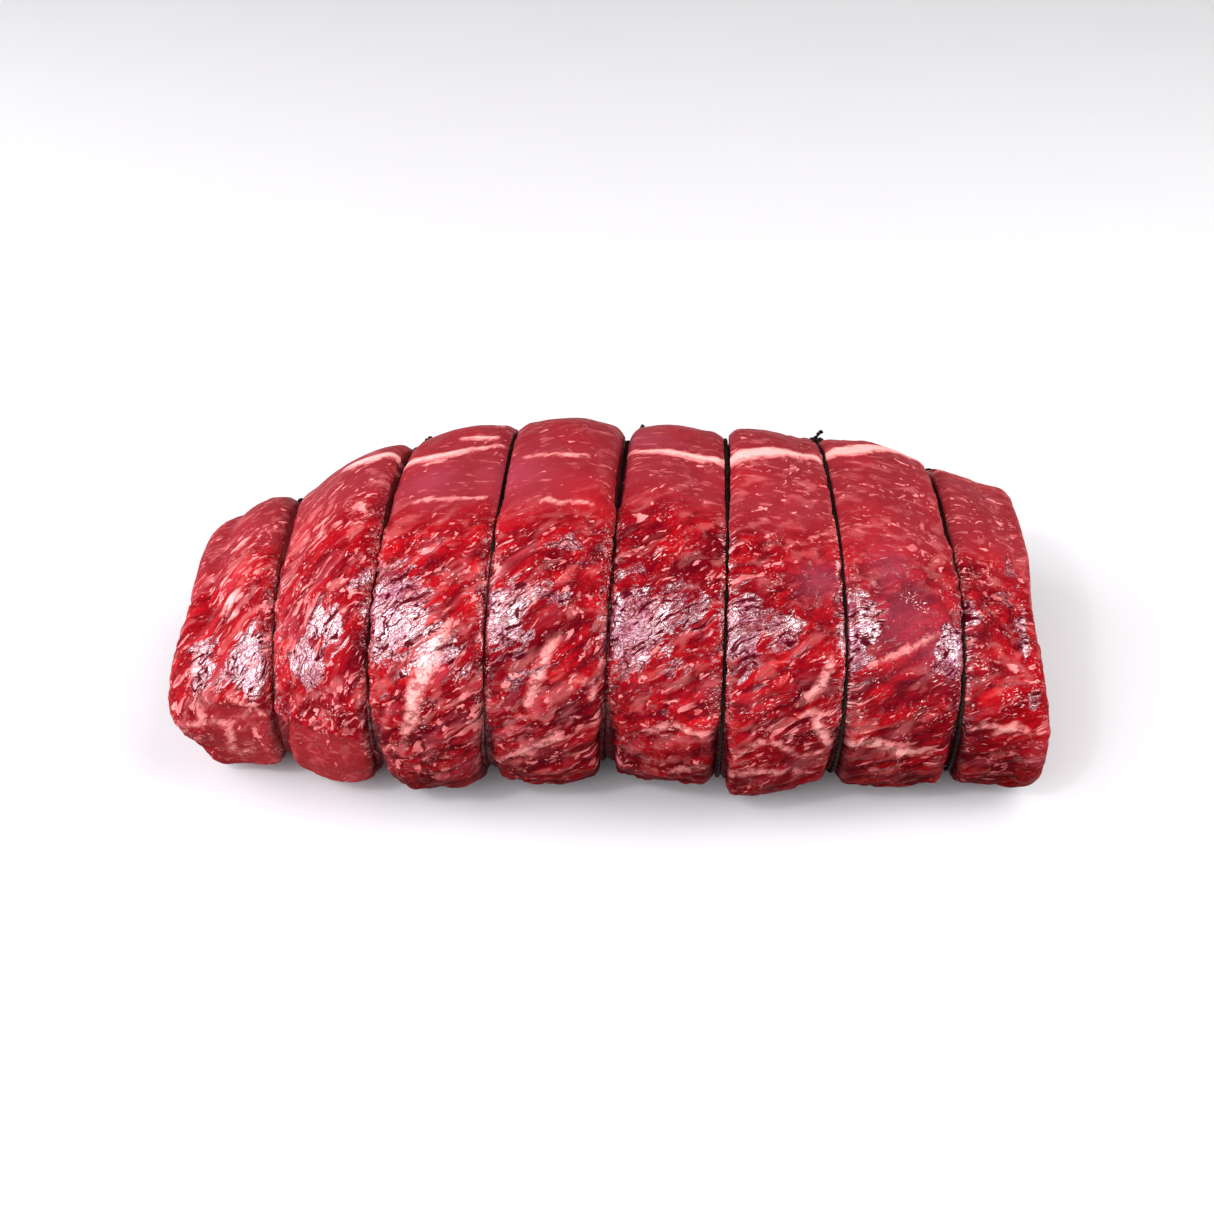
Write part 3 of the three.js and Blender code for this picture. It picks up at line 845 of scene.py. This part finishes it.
def make_tie(tie):
    """One loop of twine with its knot, a trefoil, and two tails."""
    angles = np.linspace(0, 2 * np.pi, LOOP_POINTS, endpoint=False)
    sunk = closed_over(tie, np.degrees(angles))
    lift = TWINE_RAISE + (TWINE_SUNK - TWINE_RAISE) * sunk
    loop = skin(tie, angles, lift=lift + TIE_FILL * between(*FILLED, np.degrees(angles)))

    degrees, tails = KNOTS[tie - 1]
    at = np.radians(degrees)
    centre = skin(tie, at, lift=KNOT_RAISE)
    out = unit(skin(tie, at, lift=KNOT_RAISE + 1) - centre)
    ahead = unit(skin(tie, at + 0.02) - skin(tie, at))
    side = np.cross(ahead, out)
    t = np.linspace(KNOT_GAP, 2 * np.pi - KNOT_GAP, KNOT_POINTS)[:, None]
    knot = (
        centre
        + KNOT_ALONG * (np.sin(t) + 2 * np.sin(2 * t)) * side
        + KNOT_ROUND * (np.cos(t) - 2 * np.cos(2 * t)) * ahead
        - KNOT_OUT * np.sin(3 * t) * out
    )
    first, second = (
        [skin(tie + step, np.radians(degrees + turn), lift=rise) for step, turn, rise in tail]
        for tail in tails
    )
    path = np.array([*first[::-1], *knot, *second])
    steps = np.linspace(0, len(path) - 1, KNOT_PATH_POINTS)
    smooth = np.stack([along(path[:, n], steps) for n in range(3)], -1)
    points, faces = joined([rope(cad_fit(loop), True), rope(cad_fit(smooth), False)])
    return mesh_piece(f"twine_{tie}", points, faces)


# Materials

def linear(*seen):
    """A colour as seen on a screen, 0 to 255, as the linear light that a shader takes."""
    shares = (value / 255 for value in seen)
    light = (v / 12.92 if v < 0.04045 else ((v + 0.055) / 1.055) ** 2.4 for v in shares)
    return (*light, 1.0)


class Graph:
    """A material's node graph, built by calls that return sockets."""

    def __init__(self, name):
        self.material = bpy.data.materials.new(name)
        self.material.use_nodes = True
        self.nodes = self.material.node_tree.nodes
        self.links = self.material.node_tree.links
        self.shader = self.nodes["Principled BSDF"].inputs

    def feed(self, inputs, values):
        """Links or sets inputs, given by name or number."""
        for key, value in values.items():
            if isinstance(value, bpy.types.NodeSocket):
                self.links.new(value, inputs[key])
            else:
                inputs[key].default_value = value

    def node(self, kind, values, **settings):
        """The outputs of a new node."""
        node = self.nodes.new("ShaderNode" + kind)
        for name, setting in settings.items():
            setattr(node, name, setting)
        self.feed(node.inputs, values)
        return node.outputs

    def field(self, name, output="Fac"):
        return self.node("Attribute", {}, attribute_name=name)[output]

    def object_points(self):
        return self.node("TexCoord", {})["Object"]

    def math(self, operation, a, b=0.5, c=0.5, clamp=False):
        return self.node("Math", {0: a, 1: b, 2: c}, operation=operation, use_clamp=clamp)[0]

    def chain(self, operation, first, *others):
        for value in others:
            first = self.math(operation, first, value)
        return first

    def times(self, *values):
        return self.chain("MULTIPLY", *values)

    def most(self, *values):
        return self.chain("MAXIMUM", *values)

    def line(self, value, factor, start):
        """value times factor, plus start."""
        return self.math("MULTIPLY_ADD", value, factor, start)

    def lifted(self, value, lowest):
        """A value from 0 to 1, pressed into lowest to 1."""
        return self.line(value, 1 - lowest, lowest)

    def rest(self, value, whole=1.0):
        """What value leaves of the whole, never below 0."""
        return self.math("SUBTRACT", whole, value, clamp=True)

    def noise(self, points, size, detail=2.0, roughness=0.5, warp=0.0, output="Fac"):
        """Noise from 0 to 1 whose lumps are about size mm across."""
        values = {"Vector": points, "Scale": 1 / (size * MM), "Detail": detail}
        values |= {"Roughness": roughness, "Distortion": warp}
        return self.node("TexNoise", values)[output]

    def cracks(self, points, size):
        """Distance from the border between random cells of about size mm."""
        values = {"Vector": points, "Scale": 1 / (size * MM)}
        return self.node("TexVoronoi", values, feature="DISTANCE_TO_EDGE")["Distance"]

    def ramp(self, value, low, high, start=0.0, end=1.0):
        """A smooth step from start at low to end at high."""
        values = {"Value": value, "From Min": low, "From Max": high, "To Min": start, "To Max": end}
        return self.node("MapRange", values, interpolation_type="SMOOTHSTEP")[0]

    def above(self, value, edge, blur, share=1.0):
        """share where value is over an edge, 0 under it."""
        return self.ramp(value, edge, self.math("ADD", edge, blur), 0, share)

    def mix(self, factor, a, b, blend="MIX"):
        return self.node("Mix", {0: factor, 6: a, 7: b}, data_type="RGBA", blend_type=blend)[2]

    def scaled(self, points, factors):
        return self.node("VectorMath", {0: points, 1: factors}, operation="MULTIPLY")[0]

    def bump(self, height, depth, normal=None):
        """Bumps of depth mm for a height that goes from 0 to 1, on top of normal's own."""
        values = {"Strength": 1.0, "Distance": depth * MM, "Height": height}
        if normal is not None:
            values["Normal"] = normal
        return self.node("Bump", values)["Normal"]


DEEP_RED = linear(154, 8, 18)
SCARLET_RED = linear(178, 17, 25)
TOP_CRIMSON = linear(128, 41, 48)
MAROON = linear(112, 3, 12)
DARK_GRAIN = linear(98, 2, 12)
WET_PURPLE = linear(122, 8, 46)
# Partly a silvery film, partly painted highlight
LILAC_FILM_AND_HIGHLIGHT = linear(188, 108, 140)
# Painted shade, for cracks, hollows, tie grooves and the gaps beside them
PAINTED_SHADE_DARK = linear(68, 1, 12)
# Painted shade, darkening the meat towards the floor
PAINTED_LOW_SHADE = linear(130, 52, 58)
CUT_BROWN = linear(150, 39, 43)
# Painted glints
PAINTED_GLINT_PALE = linear(252, 205, 198)
# Partly a thin membrane, partly painted sheen
FILM_AND_SHEEN_GREY = linear(150, 58, 74)
FLECK_PINK = linear(236, 134, 132)
MAUVE = linear(192, 78, 92)
FAT_PINK = linear(230, 138, 134)
FAT_CREAM = linear(246, 196, 186)
TWINE_DARK = linear(10, 8, 8)
TWINE_BROWN = linear(30, 24, 17)
TWINE_FIBRE = linear(58, 48, 32)
FLOOR_GREYS = [(0.61, 0.61, 0.61, 1), (0.63, 0.63, 0.63, 1)]

# How light meets the meat and its juice
BEEF_SHADER = {
    "Subsurface Weight": 0.08,
    "Subsurface Radius": (1.0, 0.22, 0.14),
    "Subsurface Scale": 0.002,
    "Specular IOR Level": 0.01,
    "Coat Roughness": 0.18,
    "Coat IOR": 3.1,
}
# Depths in mm of the bumps that are finer than the mesh
RIDGE_BUMP = 0.3
FIBRE_BUMP = 0.14
WRINKLE_BUMP = 0.06
GRAIN_BUMP = 0.07
FLECK_BUMP = 0.16


class Beef(Graph):
    """The meat's graph, with the colour painted so far and what its parts share."""

    def __init__(self):
        super().__init__("beef")
        self.points = self.object_points()
        self.grain = self.shaken(self.field("grain", "Vector"), 4.0, 8)
        self.front = self.field("front")
        self.raised = self.field("raised")
        self.wrinkled = self.field("wrinkled")
        self.tie = self.field("tie")
        self.low = self.field("low")
        self.regions = self.noise(self.points, 18)
        # Painted shade darkens the hollows between the lumps
        self.recess_shade = self.ramp(self.raised, -1.0, -0.1, 0.75, 0)
        torn = self.line(self.noise(self.grain, 2.6, 3, 0.6), 1.5, -0.75)
        self.wet = self.ramp(self.math("ADD", self.wrinkled, torn), 0.34, 0.5)
        self.colour = DEEP_RED

    def shaken(self, points, reach, size):
        """Points moved by up to reach mm, by a noise of size mm."""
        by = self.noise(self.points, size, 1.0, output="Color")
        values = {0: by, 1: (reach * MM,) * 3, 2: points}
        return self.node("VectorMath", values, operation="MULTIPLY_ADD")[0]

    def paint(self, share, colour, blend="MIX"):
        self.colour = self.mix(share, self.colour, colour, blend)


def paint_lean(g):
    """Deep red with scarlet and maroon regions, a streaky grain, painted shade in the hollows
    between the lumps, a greyish film that is partly painted sheen, faint pink streaks on the
    smoother top, and purple wet patches."""
    g.paint(g.rest(g.front, 0.85), TOP_CRIMSON)
    scarlet = g.most(g.ramp(g.regions, 0.5, 0.66, 0, 0.55), g.field("scarlet"))
    g.paint(g.times(scarlet, g.lifted(g.front, 0.3)), SCARLET_RED)
    dark = g.ramp(g.noise(g.grain, 6), 0.46, 0.6, 0, 0.75)
    g.paint(g.times(dark, g.lifted(g.front, 0.25)), MAROON)
    streaks = g.ramp(g.noise(g.grain, 0.9, 3, 0.6), 0.38, 0.56, 0.45, 0)
    g.paint(g.times(streaks, g.lifted(g.front, 0.2)), DARK_GRAIN)
    # Painted shade in the hollows between the lumps
    g.paint(g.recess_shade, PAINTED_SHADE_DARK)
    g.paint(g.times(g.field("cut"), 0.65), CUT_BROWN)
    # A greyish film, partly a thin membrane and partly painted sheen
    g.paint(g.times(g.field("film_and_sheen"), 0.55), FILM_AND_SHEEN_GREY)
    level = g.noise(g.scaled(g.points, (0.22, 1, 1)), 1.5)
    g.paint(g.times(g.ramp(level, 0.61, 0.7, 0, 0.3), g.rest(g.front, 0.9)), FLECK_PINK)
    g.paint(g.times(g.wet, 0.5), WET_PURPLE)


def paint_marbling(g):
    """Soft smudges, and short flecks along the grain, with larger and finer ones among them.
    Returns where the flecks are."""
    marbling = g.field("marbling")
    smudges = g.ramp(g.noise(g.grain, 3.4), 0.52, 0.68, 0, 0.28)
    g.paint(g.times(smudges, g.line(marbling, 1.2, 0.1)), FLECK_PINK)
    mauve = g.ramp(g.noise(g.grain, 5), 0.52, 0.66, 0, 0.3)
    g.paint(g.times(mauve, g.front, g.ramp(marbling, 0.45, 0.8)), MAUVE)
    bunched = g.line(g.noise(g.points, 7), -0.2, 0.1)
    edge = g.math("ADD", bunched, g.line(marbling, -0.16, 0.725))
    flecks = g.above(g.noise(g.grain, 1.45, warp=0.3), edge, 0.04)
    fine = g.above(g.noise(g.grain, 0.75), g.line(marbling, -0.12, 0.745), 0.05, 0.6)
    large = g.above(g.noise(g.grain, 3.2, 3, 0.55, 0.15), g.line(marbling, -0.1, 0.7), 0.045)
    marbled = g.most(flecks, large, fine)
    fade = g.ramp(g.noise(g.points, 5), 0.38, 0.6, 0.4, 0.95)
    g.paint(g.times(marbled, fade), FLECK_PINK)
    return marbled


def paint_glints(g):
    """Painted glints: pale specks in clusters, on wet patches and beside the ties. Returns those clusters.
    """
    clusters = g.most(
        g.ramp(g.noise(g.points, 6), 0.55, 0.65, 0.02, 0.85),
        g.times(g.wet, 0.6),
        g.ramp(g.tie, 2.6, 1.2, 0, 0.9),
    )
    # Painted glints: short pale strokes along the grain
    painted_glints = g.ramp(g.noise(g.grain, 0.46, 2, 0.6), 0.62, 0.655)
    g.paint(g.times(painted_glints, g.front, clusters, g.rest(g.low)), PAINTED_GLINT_PALE)
    return clusters


def paint_fat(g):
    """Fat seams and veins, palest in their core, with gaps of lean. Returns that core."""
    ragged = g.line(g.noise(g.grain, 1.5, 3, 0.6), 3.4, -1.85)
    edge = g.math("ADD", g.field("fat"), ragged)
    gaps = g.ramp(g.noise(g.points, 2.6, 3, 0.6), 0.5, 0.58, 1, 0.25)
    whole = g.most(gaps, g.rest(g.field("cut"), g.rest(g.front)))
    core = g.times(g.ramp(edge, -0.35, -1.3), whole, g.line(g.front, -0.1, 0.75))
    g.paint(g.times(g.ramp(edge, 0.8, -0.6), whole, 0.85), FAT_PINK)
    g.paint(g.times(core, 0.7), FAT_CREAM)
    return core


def paint_wrinkles(g):
    """Lilac plates of the wet patches, partly a silvery film and partly painted highlight, and
    painted shade in the cracks between them, finer than the mesh. Returns the plates, which are
    0 in a crack, and how dark the cracks are."""
    points = g.shaken(g.grain, 1.6, 2.2)
    small = g.ramp(g.cracks(points, 0.8), 0.01, 0.14, 0.45, 1)
    broken = g.ramp(g.noise(g.grain, 2.4), 0.5, 0.56, 0, 0.85)
    long = g.most(g.ramp(g.cracks(points, 2.9), 0.005, 0.07), broken)
    creases = g.ramp(g.noise(g.scaled(g.grain, (0.6, 1, 1)), 1.3), 0.36, 0.44)
    plates = g.chain("MINIMUM", long, creases, small)
    cracks = g.math("SUBTRACT", 1.0, plates)
    cracks = g.times(cracks, g.most(g.wet, g.times(g.front, 0.25)))
    # Pale lilac on the plates: partly a silvery film, partly painted highlight
    pale = g.times(g.ramp(g.wrinkled, 0.4, 0.8), g.ramp(small, 0.4, 1.0, 0.3, 1), g.wet)
    pale = g.times(pale, g.ramp(g.noise(g.grain, 2.2), 0.42, 0.6, 0, 0.55))
    g.paint(pale, LILAC_FILM_AND_HIGHLIGHT)
    # Painted shade in the cracks
    g.paint(g.times(cracks, 0.95), PAINTED_SHADE_DARK)
    return plates, cracks


def paint_grooves(g):
    """Painted shade: the dark groove of a tie, the gap beside it, and a darkening of the meat
    towards the floor. Returns the groove and the gap."""
    # Painted shade in the groove of each tie
    groove = g.ramp(g.tie, 0.2, 0.5, 0.85, 0)
    groove = g.times(groove, g.line(g.field("closed"), -0.45, 1.0))
    g.paint(groove, PAINTED_SHADE_DARK)
    # Painted shade in the gap at the foot beside a tie
    gap = g.times(g.ramp(g.tie, 0.8, 3.2, 0.9, 0), g.field("crevice"))
    g.paint(gap, PAINTED_SHADE_DARK)
    # Painted shade, darker towards the floor, in patches
    low_shade = g.ramp(g.noise(g.points, 9), 0.35, 0.62, 0.75, 1.1)
    g.paint(g.math("MULTIPLY", g.low, low_shade, clamp=True), PAINTED_LOW_SHADE, "MULTIPLY")
    return groove, gap


def juice_drops(g, clusters, ridges, fibres):
    """Juice in droplets, in threads along the grain, in pleats beside the ties, and on crests."""
    drops = g.noise(g.points, 0.7, 2, 0.6)
    drops = g.ramp(g.math("ADD", drops, g.ramp(g.tie, 3.0, 1.0, 0, 0.06)), 0.6, 0.66)
    drops = g.times(drops, g.line(g.front, 0.5, 0.05), g.lifted(clusters, 0.15))
    threads = g.times(g.ramp(ridges, 0.6, 0.65, 0, 0.35), g.ramp(g.regions, 0.46, 0.56))
    pleats = g.ramp(g.noise(g.scaled(g.points, (0.2, 1, 1)), 0.8), 0.52, 0.6, 0, 0.5)
    pleats = g.times(pleats, g.ramp(g.tie, 4.5, 1.0))
    crests = g.times(g.ramp(g.raised, 0.05, 0.7), g.ramp(fibres, 0.5, 0.62, 0, 0.2))
    drops = g.most(drops, g.times(g.most(threads, pleats), g.front), crests)
    return g.times(drops, g.rest(g.times(g.low, 0.9)))


def juice_film(g, plates, core):
    """Juice as a film all over the wet patches, and in places on the fat."""
    patchy = g.ramp(g.noise(g.points, 0.5, 2, 0.6), 0.38, 0.5, 0.65)
    patchy = g.times(patchy, g.ramp(g.noise(g.grain, 4), 0.38, 0.52, 0.75))
    on_fat = g.ramp(g.noise(g.points, 1.3, 3, 0.6), 0.48, 0.62, 0.02, 0.35)
    return g.most(g.times(g.wet, plates, patchy), g.times(core, on_fat))


def beef_material():
    g = Beef()
    paint_lean(g)
    marbled = paint_marbling(g)
    clusters = paint_glints(g)
    core = paint_fat(g)
    plates, cracks = paint_wrinkles(g)
    groove, gap = paint_grooves(g)

    ridges = g.noise(g.grain, 1.1)
    fibres = g.noise(g.grain, 0.6, 3, 0.65)
    drops = juice_drops(g, clusters, ridges, fibres)
    dry = g.most(cracks, g.recess_shade, gap, groove)
    coat = g.times(g.most(juice_film(g, plates, core), drops), g.rest(dry))

    rugged = g.times(g.lifted(g.front, 0.3), g.line(g.wet, -0.75, 1.0))
    wrinkles = g.times(plates, g.line(g.wet, 0.9, g.times(g.front, 0.12)))
    normal = g.bump(g.times(ridges, rugged), RIDGE_BUMP)
    normal = g.bump(g.times(fibres, rugged), FIBRE_BUMP, normal)
    normal = g.bump(wrinkles, WRINKLE_BUMP, normal)
    grained = g.noise(g.points, 0.45, 2, 0.6)
    normal = g.bump(g.times(grained, rugged), GRAIN_BUMP, normal)
    normal = g.bump(g.line(drops, 0.5, marbled), FLECK_BUMP, normal)
    roughness = g.ramp(g.noise(g.points, 2.4, 3, 0.6), 0.3, 0.7, 0.34, 0.52)
    g.feed(g.shader, {"Base Color": g.colour, "Roughness": roughness, "Normal": normal})
    g.feed(g.shader, {"Coat Weight": coat, "Coat Normal": normal, **BEEF_SHADER})
    return g.material


def twine_material():
    g = Graph("twine")
    points = g.object_points()
    stain = g.ramp(g.noise(points, 5), 0.35, 0.7)
    fibre = g.noise(points, 0.3, 3, 0.7)
    colour = g.mix(stain, TWINE_DARK, TWINE_BROWN)
    colour = g.mix(g.ramp(fibre, 0.55, 0.75, 0, 0.15), colour, TWINE_FIBRE)
    roughness = g.ramp(fibre, 0.3, 0.7, 0.45, 0.75)
    g.feed(g.shader, {"Base Color": colour, "Roughness": roughness, "Normal": g.bump(fibre, 0.12)})
    g.feed(g.shader, {"Specular IOR Level": 0.1})
    return g.material


def floor_material():
    g = Graph("pale_floor")
    colour = g.mix(g.noise(g.object_points(), 60), *FLOOR_GREYS)
    g.feed(g.shader, {"Base Color": colour, "Roughness": 0.8, "Specular IOR Level": 0.1})
    return g.material


# Stage

def direction(azimuth, elevation):
    """Unit vector towards a camera or light: azimuth 0 is the front, above zero to the right."""
    a, e = math.radians(azimuth), math.radians(elevation)
    return Vector((math.sin(a) * math.cos(e), -math.cos(a) * math.cos(e), math.sin(e)))


def aim(thing, at, target):
    thing.location = at
    thing.rotation_euler = (target - at).to_track_quat("-Z", "Y").to_euler()
    return thing


def make_camera():
    data = bpy.data.cameras.new("camera")
    data.sensor_width = SENSOR_WIDTH
    data.lens = SENSOR_WIDTH * FOCAL_PIXELS / PHOTO_PIXELS
    data.clip_start = CLIP_START
    target = Vector(CAMERA_TARGET) * MM
    at = target + direction(CAMERA_AZIMUTH, CAMERA_ELEVATION) * CAMERA_DISTANCE * MM
    bpy.context.scene.camera = aim(put("camera", data), at, target)


def make_light(name, azimuth, elevation, distance, size, power, colour):
    data = bpy.data.lights.new(name, "AREA")
    data.shape = "RECTANGLE"
    data.size, data.size_y = size
    data.energy = power
    data.color = colour
    aim(put(name, data), direction(azimuth, elevation) * distance, Vector(LIGHTS_AIM))


def make_stage():
    bpy.ops.mesh.primitive_plane_add(size=FLOOR_SIZE)
    floor = bpy.context.object
    floor.name = "floor"
    floor.data.materials.append(floor_material())
    world = bpy.data.worlds.new("studio")
    bpy.context.scene.world = world
    world.use_nodes = True
    background = world.node_tree.nodes["Background"]
    background.inputs["Color"].default_value = (1, 1, 1, 1)
    background.inputs["Strength"].default_value = SURROUNDINGS
    for light in LIGHTS:
        make_light(*light)
    bpy.context.scene.view_settings.view_transform = "Standard"


make_camera()
make_stage()

meat = make_meat()
meat.data.materials.append(beef_material())
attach(meat, "root")
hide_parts("roast")

twine = twine_material()
for tie in TIES:
    loop = make_tie(tie)
    loop.data.materials.append(twine)
    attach(loop, "root")
    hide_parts(f"tie_{tie}")
